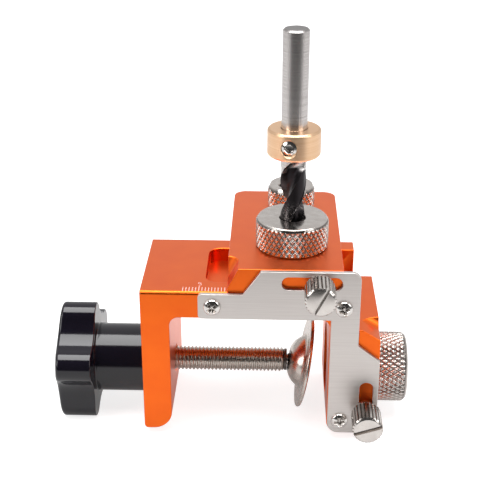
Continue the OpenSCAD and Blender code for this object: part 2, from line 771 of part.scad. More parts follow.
c_frame();
l_cover_plate();
plate_screws();
top_guide_block();
front_guide_bush();
rear_guide_bush();
top_thumb_screw();
side_guide_block();
side_guide_bush();
side_thumb_screw();
drill_bit();
stop_collar();
collar_grub_screw();
clamp_screw();
star_knob();
knob_insert();
pad_neck_ring();
swivel_pad();
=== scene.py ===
import math
import bmesh
import bpy
import numpy as np
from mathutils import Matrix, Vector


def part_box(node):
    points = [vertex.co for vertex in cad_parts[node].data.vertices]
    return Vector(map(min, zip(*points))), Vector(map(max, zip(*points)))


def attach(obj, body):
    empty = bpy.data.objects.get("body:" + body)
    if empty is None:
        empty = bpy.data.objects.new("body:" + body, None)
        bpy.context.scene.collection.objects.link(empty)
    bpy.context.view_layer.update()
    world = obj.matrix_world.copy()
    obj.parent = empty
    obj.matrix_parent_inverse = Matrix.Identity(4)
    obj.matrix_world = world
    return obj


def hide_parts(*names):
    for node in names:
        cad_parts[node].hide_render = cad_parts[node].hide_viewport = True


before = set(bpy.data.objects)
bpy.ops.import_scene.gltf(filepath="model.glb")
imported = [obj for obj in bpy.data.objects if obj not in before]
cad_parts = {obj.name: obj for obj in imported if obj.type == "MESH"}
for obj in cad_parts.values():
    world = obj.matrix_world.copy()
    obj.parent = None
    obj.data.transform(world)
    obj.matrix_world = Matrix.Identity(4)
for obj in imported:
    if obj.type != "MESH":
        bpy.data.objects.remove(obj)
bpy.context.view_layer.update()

# A doweling jig: orange frame and guide blocks, steel plate, knurled bushes, drill and clamp.
# Pieces are worked out in millimetres from the frame's front top left corner.
mm = 0.001
turn = 2 * math.pi
frameLow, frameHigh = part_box("c_frame")
corner = np.array([frameLow.x, frameLow.y, frameHigh.z])
print("frame loaded:", len(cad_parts), "nodes")


def span(node):  # a node's lowest and highest corner, in mm from the frame's corner
    low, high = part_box(node)
    return (np.array(low) - corner) / mm, (np.array(high) - corner) / mm


def hexColour(code):  # sRGB hex to the linear colour that a shader takes
    srgb = np.array([int(code[i:i + 2], 16) for i in (1, 3, 5)]) / 255
    linear = np.where(srgb <= 0.04045, srgb / 12.92, ((srgb + 0.055) / 1.055) ** 2.4)
    return (*linear, 1.0)


# Adds a node: values sets its inputs, links joins outputs to them, settings sets the rest
def addNode(tree, kind, values=None, links=None, **settings):
    node = tree.nodes.new("ShaderNode" + kind)
    for name, value in settings.items():
        setattr(node, name, value)
    for name, value in (values or {}).items():
        node.inputs[name].default_value = value
    for name, socket in (links or {}).items():
        tree.links.new(socket, node.inputs[name])
    return node


def perMetre(size):  # noise scale for a pattern whose grain is size mm
    return 1 / (size * mm)


def newMaterial(name, **values):
    material = bpy.data.materials.new(name)
    material.use_nodes = True
    shader = material.node_tree.nodes["Principled BSDF"]
    for key, value in values.items():
        shader.inputs[key.replace("_", " ")].default_value = value
    return material, material.node_tree, shader


# Noise stretched over the piece: stretch gives the grain's length along x, y and z in mm
def grain(tree, stretch, detail=3.0, rough=0.5):
    own = addNode(tree, "TexCoord")
    mapping = addNode(tree, "Mapping", {"Scale": [perMetre(s) for s in stretch]},
                      {"Vector": own.outputs["Object"]})
    return addNode(tree, "TexNoise", {"Scale": 1.0, "Detail": detail, "Roughness": rough},
                   {"Vector": mapping.outputs["Vector"]})


def rampBetween(tree, socket, low, high, fromLow=0.3, fromHigh=0.7):  # a number that follows it
    return addNode(tree, "MapRange", {"From Min": fromLow, "From Max": fromHigh,
                                      "To Min": low, "To Max": high}, {"Value": socket})


def mixColours(tree, socket, first, second):  # from the first colour to the second as socket rises
    mix = addNode(tree, "Mix", data_type="RGBA")
    tree.links.new(socket, mix.inputs[0])
    for entry, colour in ((6, first), (7, second)):
        if isinstance(colour, str):
            mix.inputs[entry].default_value = hexColour(colour)
        else:
            tree.links.new(colour, mix.inputs[entry])
    return mix.outputs[2]


def shaded(tree, pattern, look):  # the pattern's colour, from dark in its hollows to light on top
    share = rampBetween(tree, pattern.outputs["Fac"], 0, 1)
    return mixColours(tree, share.outputs["Result"], look["dark"], look["light"])


def setRough(tree, shader, pattern, look):
    rough = rampBetween(tree, pattern.outputs["Fac"], look["roughLow"], look["roughHigh"])
    tree.links.new(rough.outputs["Result"], shader.inputs["Roughness"])


# Lathe marks spread the shine along the axis, but not on an end, where the attribute end is 1
def turnedShine(tree, shader, axis, amount):
    around = addNode(tree, "Tangent", direction_type="RADIAL", axis=axis)
    tree.links.new(around.outputs["Tangent"], shader.inputs["Tangent"])
    end = addNode(tree, "Attribute", attribute_name="end")
    spread = addNode(tree, "MapRange", {"To Min": amount, "To Max": 0.0}, {"Value": end.outputs["Fac"]})
    tree.links.new(spread.outputs["Result"], shader.inputs["Anisotropic"])
    shader.inputs["Anisotropic Rotation"].default_value = 0.25


def addBump(tree, shader, socket, height, strength):  # height is in mm
    bump = addNode(tree, "Bump", {"Strength": strength, "Distance": height * mm}, {"Height": socket})
    tree.links.new(bump.outputs["Normal"], shader.inputs["Normal"])


# Aluminium, bead blasted and dyed in the anodising bath: a metal that shines in its own colour,
# soft, with a very fine even grain. The real grain is near 0.05 mm and is drawn coarser to show.
def anodisedAluminium():
    look = {"grain": 0.35, "patch": 9.0, "light": "#F76A0C", "dark": "#F2630A",
            "roughLow": 0.3, "roughHigh": 0.38, "bump": 0.012, "relief": 0.35}
    material, tree, shader = newMaterial("orange_anodised_aluminium", Metallic=1.0, Coat_Weight=0.6,
                                         Coat_Roughness=0.35, Coat_IOR=1.38)
    fine = grain(tree, [look["grain"]] * 3)
    patch = grain(tree, [look["patch"]] * 3, detail=2.0)
    tree.links.new(shaded(tree, patch, look), shader.inputs["Base Color"])
    setRough(tree, shader, fine, look)
    addBump(tree, shader, fine.outputs["Fac"], look["bump"], look["relief"])
    return material


# Cold rolled stainless sheet, brushed along its length: long hairlines and a soft grey sheen.
# Hairlines are near 0.03 mm apart and are drawn 0.2 mm apart.
def brushedStainless():
    look = {"line": 0.2, "length": 14.0, "light": "#D2CCC8", "dark": "#C8C1BD",
            "roughLow": 0.34, "roughHigh": 0.44, "bump": 0.004, "relief": 0.3}
    material, tree, shader = newMaterial("brushed_stainless_steel", Metallic=1.0, Anisotropic=0.4)
    lines = grain(tree, [look["length"], look["line"], look["line"]], detail=4.0)
    tree.links.new(shaded(tree, lines, look), shader.inputs["Base Color"])
    setRough(tree, shader, lines, look)
    addBump(tree, shader, lines.outputs["Fac"], look["bump"], look["relief"])
    return material


# Bright plating over steel: nickel on the knurled pieces, zinc on the screws and the clamp.
# It mirrors what is near, a little blurred, with faint cloudy patches. Painted shade darkens its
# colour towards a brown grey where the attribute groove is 1.
def platedSteel(name, light, dark, rough):
    # The brown grey colour below is painted shade, laid into the grooves
    look = {"patch": 2.5, "light": light, "dark": dark, "grooveShade": "#4A3D36", "roughLow": rough * 0.8,
            "roughHigh": rough * 1.25}
    material, tree, shader = newMaterial(name, Metallic=1.0)
    cloud = grain(tree, [look["patch"]] * 3)
    colour = shaded(tree, cloud, look)
    # Painted shade: the colour darkens towards the brown grey as the attribute groove rises
    groove = addNode(tree, "Attribute", attribute_name="groove")
    colour = mixColours(tree, groove.outputs["Fac"], colour, look["grooveShade"])
    tree.links.new(colour, shader.inputs["Base Color"])
    setRough(tree, shader, cloud, look)
    return material


# Brass turned on a lathe: fine rings round the axis, so it shines softly across them.
# The tool marks are near 0.05 mm apart and are drawn 0.15 mm apart.
def turnedBrass():
    look = {"ring": 0.15, "length": 30.0, "light": "#F4CFAB", "dark": "#E6BC94", "shine": 0.7,
            "bump": 0.008, "relief": 0.5}
    material, tree, shader = newMaterial("turned_satin_brass", Metallic=1.0, Roughness=0.36)
    turnedShine(tree, shader, "Z", look["shine"])
    rings = grain(tree, [look["length"], look["length"], look["ring"]])
    tree.links.new(shaded(tree, rings, look), shader.inputs["Base Color"])
    addBump(tree, shader, rings.outputs["Fac"], look["bump"], look["relief"])
    return material


# Phenolic moulding, polished by its mould: near black with a sharp gloss
def phenolicPlastic():
    look = {"dust": 0.5, "wave": 6.0, "light": "#13101A", "dark": "#0C0A12",
            "roughLow": 0.08, "roughHigh": 0.14, "bump": 0.02, "relief": 0.25}
    material, tree, shader = newMaterial("black_phenolic_plastic", IOR=1.5)
    dust = grain(tree, [look["dust"]] * 3)
    setRough(tree, shader, dust, look)
    waves = grain(tree, [look["wave"]] * 3, detail=1.0)
    colour = mixColours(tree, waves.outputs["Fac"], look["dark"], look["light"])
    tree.links.new(colour, shader.inputs["Base Color"])
    addBump(tree, shader, waves.outputs["Fac"], look["bump"], look["relief"])
    return material


# Black oxide on steel: a thin dark layer with a dull metal sheen
def blackOxide():
    look = {"cloud": 0.6, "light": "#6E6661", "dark": "#57504D"}
    material, tree, shader = newMaterial("black_oxide_steel", Metallic=0.8, Roughness=0.35)
    cloud = grain(tree, [look["cloud"]] * 3)
    colour = mixColours(tree, cloud.outputs["Fac"], look["dark"], look["light"])
    tree.links.new(colour, shader.inputs["Base Color"])
    return material


# High speed steel: ground bright on the shank, blackened where the attribute dark is 1, and
# flecked with bare steel where rubbed is 1
def drillSteel():
    look = {"ring": 0.12, "length": 20.0, "shank": "#D6D1CF", "line": "#B4AFAD", "black": "#2E2B2D",
            "worn": "#8F8987", "fleck": 0.35, "fleckLow": 0.5, "fleckHigh": 0.62, "brightRough": 0.27,
            "blackRough": 0.32, "shine": 0.7, "bump": 0.004, "relief": 0.4}
    material, tree, shader = newMaterial("ground_tool_steel", Metallic=1.0)
    turnedShine(tree, shader, "Z", look["shine"])
    rings = grain(tree, [look["length"], look["length"], look["ring"]])
    bright = mixColours(tree, rampBetween(tree, rings.outputs["Fac"], 0, 1).outputs["Result"],
                        look["line"], look["shank"])
    dark = addNode(tree, "Attribute", attribute_name="dark")
    fleck = grain(tree, [look["fleck"]] * 3, detail=5.0, rough=0.7)
    rub = addNode(tree, "Attribute", attribute_name="rubbed")
    bare = rampBetween(tree, fleck.outputs["Fac"], 0.0, 1.0, look["fleckLow"], look["fleckHigh"])
    bare = addNode(tree, "Math", links={0: bare.outputs["Result"], 1: rub.outputs["Fac"]},
                   operation="MULTIPLY")
    oxide = mixColours(tree, bare.outputs[0], look["black"], look["worn"])
    colour = mixColours(tree, dark.outputs["Fac"], bright, oxide)
    tree.links.new(colour, shader.inputs["Base Color"])
    rough = rampBetween(tree, dark.outputs["Fac"], look["brightRough"], look["blackRough"], 0.0, 1.0)
    tree.links.new(rough.outputs["Result"], shader.inputs["Roughness"])
    addBump(tree, shader, rings.outputs["Fac"], look["bump"], look["relief"])
    return material


# Bare metal where the laser took the dye off: pale, flat and rough
def laserMark():
    look = {"speck": 0.2, "light": "#E2BDB4", "dark": "#C99A90"}
    material, tree, shader = newMaterial("laser_marked_scale", Metallic=0.3, Roughness=0.6)
    speck = grain(tree, [look["speck"]] * 3)
    colour = mixColours(tree, speck.outputs["Fac"], look["dark"], look["light"])
    tree.links.new(colour, shader.inputs["Base Color"])
    return material


finish = {
    "orange_anodised": anodisedAluminium(),
    "brushed_stainless": brushedStainless(),
    "zinc_screws": platedSteel("bright_zinc_plating", "#DEDAD6", "#CFCAC6", 0.14),
    "nickel_steel": platedSteel("bright_nickel_plating", "#D9D3CE", "#CBC4BF", 0.2),
    "tool_steel": drillSteel(),
    "satin_brass": turnedBrass(),
    "black_oxide_screw": blackOxide(),
    "plated_steel": platedSteel("dull_zinc_plating", "#D0C8C1", "#BDB4AC", 0.26),
    "black_plastic": phenolicPlastic(),
    "scale": laserMark(),
}
print("finishes made:", len(finish))


# A new object whose mesh is given in mm from the frame's corner
def newPiece(name, points, faces):
    mesh = bpy.data.meshes.new(name)
    mesh.from_pydata((corner + mm * np.asarray(points)).tolist(), [], faces)
    piece = bpy.data.objects.new(name, mesh)
    bpy.context.scene.collection.objects.link(piece)
    return piece


merging = 0.0004  # mm: points nearer than this are one


# Merges the points that meet, turns the faces outwards and marks the edges that stay sharp
def cleanUp(piece, sharp=35.0):
    shape = bmesh.new()
    shape.from_mesh(piece.data)
    bmesh.ops.remove_doubles(shape, verts=shape.verts, dist=merging * mm)
    bmesh.ops.dissolve_degenerate(shape, edges=shape.edges, dist=merging * mm / 10)
    bmesh.ops.recalc_face_normals(shape, faces=shape.faces)
    shape.to_mesh(piece.data)
    shape.free()
    piece.data.shade_smooth()
    piece.data.set_sharp_from_angle(angle=math.radians(sharp))


def steadyShade(piece):  # large faces keep their own shading, and small ones bend to meet it
    weigh = piece.modifiers.new("even_shading", "WEIGHTED_NORMAL")
    weigh.mode, weigh.weight, weigh.keep_sharp = "FACE_AREA", 90, True


def place(piece, body, slot, *nodes, look=None):  # its finish, its body and what it stands for
    piece.data.materials.clear()
    piece.data.materials.append(finish[look or slot])
    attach(piece, body)
    if nodes:
        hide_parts(*nodes)


# Quads between neighbouring rows and columns of a grid of points; a cell whose slant is 1 is
# split along one diagonal and a cell whose slant is -1 along the other
def gridFaces(rows, columns, slant=None):
    index = np.arange(rows * columns).reshape(rows, columns)
    a, b, c, d = index[:-1, :-1], index[:-1, 1:], index[1:, 1:], index[1:, :-1]
    if slant is None:
        return np.stack([a, b, c, d], -1).reshape(-1, 4).tolist()
    up = np.stack([a, b, c, a, c, d], -1)
    down = np.stack([a, b, d, b, c, d], -1)
    return np.where(slant[..., None] > 0, up, down).reshape(-1, 3).tolist()


# Turns a profile round an axis: radius and height are rows by columns, one column an angle.
# x = radius cos(angle), y = radius sin(angle), z = height, then laid along its axis
def revolve(name, radius, height, angle, origin, axis="z", slant=None):
    radius, height, angle = np.broadcast_arrays(radius, height, angle)
    across, up = radius * np.cos(angle), radius * np.sin(angle)
    layout = {"z": (across, up, height), "x": (height, across, up), "-y": (across, -height, up)}
    points = np.stack(layout[axis], -1) + np.asarray(origin)
    return newPiece(name, points.reshape(-1, 3), gridFaces(*radius.shape, slant))


# Rounds each inner corner of a profile by an arc of size mm, or of this share of a shorter side
def bent(points, size, steps=4, share=0.45):
    points = np.asarray(points, float)
    out = [points[:1]]
    for before, here, after in zip(points[:-2], points[1:-1], points[2:]):
        inward, outward = before - here, after - here
        reach = min(size, share * np.linalg.norm(inward), share * np.linalg.norm(outward))
        first = here + inward / np.linalg.norm(inward) * reach
        last = here + outward / np.linalg.norm(outward) * reach
        t = np.linspace(0, 1, steps)[:, None]
        out.append((1 - t) ** 2 * first + 2 * t * (1 - t) * here + t ** 2 * last)
    out.append(points[-1:])
    return np.concatenate(out)


def storeValues(piece, name, values):  # one number for each point of the piece's grid
    layer = piece.data.attributes.new(name, "FLOAT", "POINT")
    layer.data.foreach_set("value", values.ravel().astype(np.float32))


def cutBy(piece, cutters):  # takes the cutters out of the piece, then removes them
    for cutter in cutters:
        change = piece.modifiers.new("cut", "BOOLEAN")
        change.operation, change.solver, change.object = "DIFFERENCE", "EXACT", cutter
    bpy.context.view_layer.update()
    solid = piece.evaluated_get(bpy.context.evaluated_depsgraph_get())
    piece.data = bpy.data.meshes.new_from_object(solid)
    piece.modifiers.clear()
    for cutter in cutters:
        bpy.data.objects.remove(cutter)


# A box of the given lengths about a centre, turned about the y axis through that centre
def boxPiece(name, centre, lengths, spin):
    signs = np.array([[x, y, z] for x in (-1, 1) for y in (-1, 1) for z in (-1, 1)]) / 2
    x, y, z = (signs * lengths).T
    turned = [x * math.cos(spin) - z * math.sin(spin), y, x * math.sin(spin) + z * math.cos(spin)]
    faces = [(0, 1, 3, 2), (4, 6, 7, 5), (0, 4, 5, 1), (2, 3, 7, 6), (0, 2, 6, 4), (1, 5, 7, 3)]
    return newPiece(name, np.stack(turned, -1) + centre, faces)


# Machined pieces: a copy of the CAD solid with its doubles merged and its edges broken. Each
# piece has its own width of broken edge; corner and flat are angles in degrees.
edges = {"c_frame": 0.28, "top_guide_block": 0.22, "side_guide_block": 0.22, "l_cover_plate": 0.16}
mending = {"corner": 32.0, "flat": 1.5, "gap": 0.002}


def machined(node, body, slot):
    sharp = math.radians(mending["corner"])
    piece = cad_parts[node].copy()
    piece.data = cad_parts[node].data.copy()
    piece.name = node + "_finished"
    piece.parent = None
    for key in [k for k in piece.keys() if k.startswith("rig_")]:
        del piece[key]
    bpy.context.scene.collection.objects.link(piece)
    shape = bmesh.new()
    shape.from_mesh(piece.data)
    bmesh.ops.remove_doubles(shape, verts=shape.verts, dist=mending["gap"] * mm)
    bmesh.ops.dissolve_limit(shape, angle_limit=math.radians(mending["flat"]), verts=shape.verts,
                             edges=shape.edges)
    broken = shape.edges.layers.float.new("bevel_weight_edge")
    for edge in shape.edges:  # only the outer corners are broken, so sliding pieces stay clear
        edge[broken] = float(edge.is_convex and edge.calc_face_angle(0) > sharp)
    shape.to_mesh(piece.data)
    shape.free()
    piece.data.shade_smooth()
    piece.data.set_sharp_from_angle(angle=sharp)
    bevel = piece.modifiers.new("broken_edges", "BEVEL")
    bevel.width, bevel.segments = edges[node] * mm, 2
    bevel.limit_method = "WEIGHT"
    bevel.use_clamp_overlap = False
    steadyShade(piece)
    place(piece, body, slot, node)


machined("c_frame", "frame", "orange_anodised")
machined("top_guide_block", "top_block", "orange_anodised")
machined("side_guide_block", "side_block", "orange_anodised")
machined("l_cover_plate", "frame", "brushed_stainless")
print("machined pieces finished")


# Ruler: ticks along the frame's front edge, each a thin bar, with plain numerals
ruler = {"start": 13.3, "ticks": 21, "step": 1.0, "tick": 2.6, "long": 3.6, "wide": 0.28,
         "thick": 0.03, "edge": 0.8, "numeral": 1.9, "gap": 0.4, "apartShare": 0.7, "every": 10, "first": 5}


def strokes(path, wide, thick):  # a flat ribbon along a path in the top plane: points and faces
    path = np.asarray(path, float)
    along = np.gradient(path, axis=0)
    side = np.stack([-along[:, 1], along[:, 0]], -1)
    side *= wide / 2 / np.linalg.norm(side, axis=1, keepdims=True)
    rings = [np.c_[path + s * side, np.full(len(path), z)]
             for s, z in ((-1, -thick), (1, -thick), (1, thick), (-1, thick), (-1, -thick))]
    points = np.stack(rings, 1)
    faces = gridFaces(*points.shape[:2])
    last = (len(path) - 1) * len(rings)
    return points.reshape(-1, 3), faces + [(0, 1, 2, 3), (last + 3, last + 2, last + 1, last)]


def numeralPaths(digit):  # each digit is drawn one unit tall and half as wide
    bow = np.linspace(0.75, -0.62, 14) * math.pi
    if digit == "1":
        return [[(-0.12, 0.78), (0.05, 1.0), (0.05, 0.0)]]
    if digit == "5":
        belly = np.c_[0.02 + 0.26 * np.cos(bow), 0.32 + 0.32 * np.sin(bow)]
        return [[(0.24, 1.0), (-0.18, 1.0), (-0.2, 0.56)], belly]
    return []


def rulerMarks():
    points, faces = [], []

    def add(path):
        newPoints, newFaces = strokes(path, ruler["wide"], ruler["thick"])
        shift = sum(len(p) for p in points)
        points.append(newPoints)
        faces.extend([tuple(i + shift for i in f) for f in newFaces])

    for i in range(ruler["ticks"]):
        x = ruler["start"] + i * ruler["step"]
        marked = i % ruler["every"] == ruler["first"]
        top = ruler["edge"] + (ruler["long"] if marked else ruler["tick"])
        add([(x, ruler["edge"]), (x, (ruler["edge"] + top) / 2), (x, top)])
        if marked:
            tall = ruler["numeral"]
            for k, digit in enumerate(str(i)):
                shift = x + (k - (len(str(i)) - 1) / 2) * tall * ruler["apartShare"]
                for path in numeralPaths(digit):
                    add(np.asarray(path) * tall + [shift, top + ruler["gap"]])
    piece = newPiece("ruler_marks", np.concatenate(points), faces)
    cleanUp(piece)
    place(piece, "frame", "orange_anodised", look="scale")


rulerMarks()


# Diamond knurl: two families of V grooves wind round the wall both ways. A groove runs where
# column / 2 steps plus or minus row / 2 steps is whole, so it lies on the grid's diagonals.
# round is the number of grooves each way on a head as wide as headFor.
# The painted shade in a groove reaches 0.85 on its floor and fades to none on the crests
knurl = {"round": 42, "headFor": 23.0, "rise": 2.8, "depth": 0.34, "steps": 3, "flatShare": 1.6,
         "hollow": 1.5, "start": 0.15, "under": 0.7, "grooveShade": 0.85, "spread": 0.7}


def knurlWall(lines, height):
    steps = knurl["steps"]
    rows = max(2, round(height / knurl["rise"] * 2 * steps))
    i = np.arange(2 * steps * lines + 1)[None, :]
    j = np.arange(rows + 1)[:, None]
    across = [(i + j) / (2 * steps), (i - j) / (2 * steps)]
    away = np.minimum(*[np.abs(a - np.round(a)) * 2 for a in across])  # 1 on a diamond's middle
    crest = 1 - (1 - np.clip(away * knurl["flatShare"], 0, 1)) ** knurl["hollow"]
    depth = knurl["depth"] * (1 - crest)
    depth[[0, -1]] = knurl["depth"]
    cell = (i[:, :-1] // steps + j[:-1] // steps) % 2
    return depth, np.where(cell > 0, 1, -1)


# A bush: the wall's knurl, the chamfer, the face, the bore and the shank are one closed profile
def knurledBush(node, body, axis, size):
    low, high = span(node)
    centre = (low + high) / 2
    length = {"z": 2, "x": 0}[axis]
    origin = centre.copy()
    origin[length] = size["seat"]
    head, shank = high[length] - size["seat"], size["seat"] - low[length]
    r, bore, bevel, lip = size["head"] / 2, size["bore"] / 2, size["bevel"], size["lip"]
    crown = size["crown"]
    knurlLow, knurlHigh = knurl["start"], head - crown + knurl["depth"] * crown / bevel
    lines = round(knurl["round"] * size["head"] / knurl["headFor"])
    depth, slant = knurlWall(lines, knurlHigh - knurlLow)
    rows, columns = depth.shape
    angle = np.linspace(0, turn, columns)[None, :]
    wallZ = np.linspace(knurlLow, knurlHigh, rows)
    neck = size["shank"] / 2
    before = [(neck, -shank + lip), (neck, 0.0), (r - knurl["under"], 0.0)]
    after = bent([(r - knurl["depth"], knurlHigh), (r - bevel, head), (bore + size["mouth"], head),
                  (bore, head - size["mouth"]), (bore, -shank + lip)], size["round"])[1:]
    end = [(bore + lip, -shank), (neck - lip, -shank), (neck, -shank + lip)]
    before, after = np.array(before), np.concatenate([after, end])
    radius = np.concatenate([before[:, :1] + 0 * angle, r - depth, after[:, :1] + 0 * angle])
    height = np.concatenate([before[:, 1], wallZ, after[:, 1]])[:, None]
    spread = np.ones((len(radius) - 1, columns - 1), int)
    spread[len(before):len(before) + rows - 1] = slant
    piece = revolve(node + "_knurled", radius, height, angle, origin, axis, spread)
    # Painted shade: each groove's colour darkens towards its floor
    grooveShading = np.zeros(radius.shape)
    grooveShading[len(before):len(before) + rows] = knurl["grooveShade"] * (depth / knurl["depth"]) ** knurl["spread"]
    storeValues(piece, "groove", grooveShading)
    cleanUp(piece, 24)
    place(piece, body, "nickel_steel", node)


topSeat = span("top_guide_block")[1][2]
sideSeat = span("side_guide_block")[1][0]
bushes = {
    "front_guide_bush": {"axis": "z", "body": "front_bush", "seat": topSeat, "head": 23.0,
                         "shank": 14.0, "bore": 8.1, "mouth": 0.4, "bevel": 0.75, "crown": 1.1},
    "rear_guide_bush": {"axis": "z", "body": "rear_bush", "seat": topSeat, "head": 16.0,
                        "shank": 12.0, "bore": 8.1, "mouth": 0.9, "bevel": 0.8, "crown": 2.0},
    "side_guide_bush": {"axis": "x", "body": "side_bush", "seat": sideSeat, "head": 23.0,
                        "shank": 17.6, "bore": 15.0, "mouth": 0.4, "bevel": 1.0, "crown": 1.3},
}
for node, size in bushes.items():
    size.update(lip=0.3, round=0.35)
    knurledBush(node, size["body"], size["axis"], size)
print("bushes knurled")


# Thumb screws: straight ridges round the head, a chamfer at each rim and a slot in the face.
# A ridge's radius dips to the groove between ridges, and each chamfer starts where it meets it.
# The painted shade between the ridges reaches 0.8 in the grooves
thumb = {"head": 9.5, "long": 9.6, "ridges": 25, "steps": 12, "depth": 0.42, "valley": 2.2,
         "hollow": 0.8, "bevel": 0.62, "shoulder": 6.4, "shoulderLong": 2.5, "ease": 0.15, "thread": 4.0,
         "point": 0.4, "slotWide": 1.15, "slotDeep": 1.3, "rim": 0.12, "rise": 0.04, "grooveShade": 0.8}


def thumbScrew(node, body, slotTurn):
    low, high = span(node)
    centre = (low + high) / 2
    frontY = -low[1]
    r, bevel, rise = thumb["head"] / 2, thumb["bevel"], thumb["rise"]
    columns = thumb["ridges"] * thumb["steps"]
    angle = np.linspace(0, turn, columns + 1)[None, :]
    ridge = np.arange(columns + 1) / thumb["steps"]
    away = np.abs(ridge - np.round(ridge)) * 2  # 0 in a groove, 1 on the middle of a ridge
    dip = thumb["depth"] * np.clip(1 - away * thumb["valley"], 0, 1) ** thumb["hollow"]
    wall = (r - dip)[None, :]
    back = -thumb["long"]
    seat = back - thumb["shoulderLong"]
    deep = frontY + high[1]
    thread, shoulder = thumb["thread"] / 2, thumb["shoulder"] / 2
    point, ease = thumb["point"], thumb["ease"]
    rear = np.array([(0.0, -deep), (thread - point, -deep), (thread, point - deep), (thread, seat),
                     (shoulder - ease, seat), (shoulder, seat + ease), (shoulder, back),
                     (r - bevel, back)])
    face = np.array([(r - bevel, 0.0), (r - bevel - thumb["rim"], rise), (0.0, rise)])
    whole = np.zeros_like(angle)
    radius = np.concatenate([rear[:, :1] + whole, wall, wall, face[:, :1] + whole])
    height = np.concatenate([rear[:, 1:] + whole, back + bevel - (r - wall), r - wall - bevel,
                             face[:, 1:] + whole]) + frontY - rise
    origin = [centre[0], 0.0, centre[2]]
    piece = revolve(node + "_knurled", radius, height, angle, origin, "-y")
    # Painted shade: the colour darkens in the grooves between the ridges
    grooveShading = np.zeros(radius.shape)
    grooveShading[len(rear):len(rear) + 2] = thumb["grooveShade"] * dip / thumb["depth"]
    storeValues(piece, "groove", grooveShading)
    cleanUp(piece, 30)
    cutter = boxPiece("slot_cutter", [centre[0], -frontY, centre[2]],
                      [2 * thumb["head"], 2 * thumb["slotDeep"], thumb["slotWide"]],
                      math.radians(slotTurn))
    cutBy(piece, [cutter])
    cleanUp(piece, 30)
    place(piece, body, "nickel_steel", node)


thumbScrew("top_thumb_screw", "top_thumb", 63.0)
thumbScrew("side_thumb_screw", "side_thumb", 19.0)


# Pan screws: a crowned head with a cross recess. The face is a height over its radius r and
# angle: the crown falls as r squared, and the recess lowers it where the point lies in the cross.
panScrew = {"head": 5.4, "high": 1.7, "crown": 0.62, "wall": 0.25, "cross": 3.3, "wing": 0.7,
            "taper": 0.5, "deep": 1.25, "thread": 3.0, "under": 0.1, "columns": 128, "rows": 34,
            "edgeTurn": math.pi / 2.6, "edgeRows": 9, "turns": (38, 20, 8)}


def panScrews():
    low, high = span("plate_screws")
    r, thread = panScrew["head"] / 2, panScrew["thread"] / 2
    tall, taper = panScrew["high"], panScrew["taper"]
    left, right, top, bottom = low[0] + r, high[0] - r, high[2] - r, low[2] + r
    angle = np.linspace(0, turn, panScrew["columns"] + 1)[None, :]
    swing = np.linspace(0, panScrew["edgeTurn"], panScrew["edgeRows"])
    bulge = tall - panScrew["crown"] - panScrew["wall"]
    edge = np.stack([r - bulge * (1 - np.cos(swing)), panScrew["wall"] + bulge * np.sin(swing)], -1)
    face = np.linspace(edge[-1][0], 0, panScrew["rows"])
    crown = tall - (tall - edge[-1][1]) * (face / face[0]) ** 2
    plateLow, plateHigh = span("l_cover_plate")
    back = high[1] + plateHigh[1] - plateLow[1]
    for count, (x, z) in enumerate(((left, top), (right, top), (right, bottom))):
        spin = math.radians(panScrew["turns"][count])
        flatX = np.abs(face[:, None] * np.cos(angle - spin))
        flatZ = np.abs(face[:, None] * np.sin(angle - spin))
        narrow, wide = np.minimum(flatX, flatZ), np.maximum(flatX, flatZ)
        inside = np.clip((panScrew["wing"] / 2 + taper / 2 - narrow) / taper, 0, 1)
        reach = np.clip((panScrew["cross"] / 2 - wide) / taper, 0, 1)
        dip = panScrew["deep"] * np.minimum(inside, reach)
        first = [(0.0, -back), (thread, -back), (thread, 0.0), (r - panScrew["under"], 0.0)]
        rows = np.array(first + edge[:-1].tolist())
        radius = np.concatenate([rows[:, :1], face[:, None]]) + np.zeros_like(angle)
        height = np.concatenate([rows[:, 1:] + np.zeros_like(angle), crown[:, None] - dip])
        piece = revolve(f"pan_screw_{count + 1}", radius, height - plateLow[1], angle, [x, 0.0, z], "-y")
        cleanUp(piece, 28)
        place(piece, "frame", "zinc_screws", *(["plate_screws"] if count == 0 else []))


panScrews()
print("screws made")


# Stop collar: a turned ring with a threaded side hole, and its grub screw with a hexagon socket
collar = {"outer": 16.5, "bore": 8.1, "bevel": 0.55, "mouth": 0.2, "round": 0.25, "sides": 128,
          "hole": 5.0, "holeStart": 2.0, "holeSides": 64, "turn": -12.0, "countersink": 0.45, "over": 0.5}
grubScrew = {"back": 0.02, "gap": 0.07, "backBevel": 0.28, "backLong": 0.3, "faceBevel": 0.88,
             "faceLong": 0.45, "sink": 0.2, "socket": 2.5, "socketDeep": 2.0, "socketEnd": 0.5,
             "socketTurn": 0.3, "socketBevel": 0.2, "over": 0.25}


# A closed bar that points out of the collar's axis: each ring is a radius and a distance out
def radialBar(name, centre, rings, sides, spin=0.0):
    heading = math.radians(collar["turn"])
    out = np.array([math.sin(heading), -math.cos(heading), 0.0])
    side = np.array([math.cos(heading), math.sin(heading), 0.0])
    up = np.array([0.0, 0.0, 1.0])
    radius, far = np.array(rings).T[:, :, None, None]
    angle = (np.linspace(0, turn, sides + 1) + spin)[None, :, None]
    points = centre + out * far + radius * (np.cos(angle) * side + np.sin(angle) * up)
    return newPiece(name, points.reshape(-1, 3), gridFaces(len(rings), sides + 1))


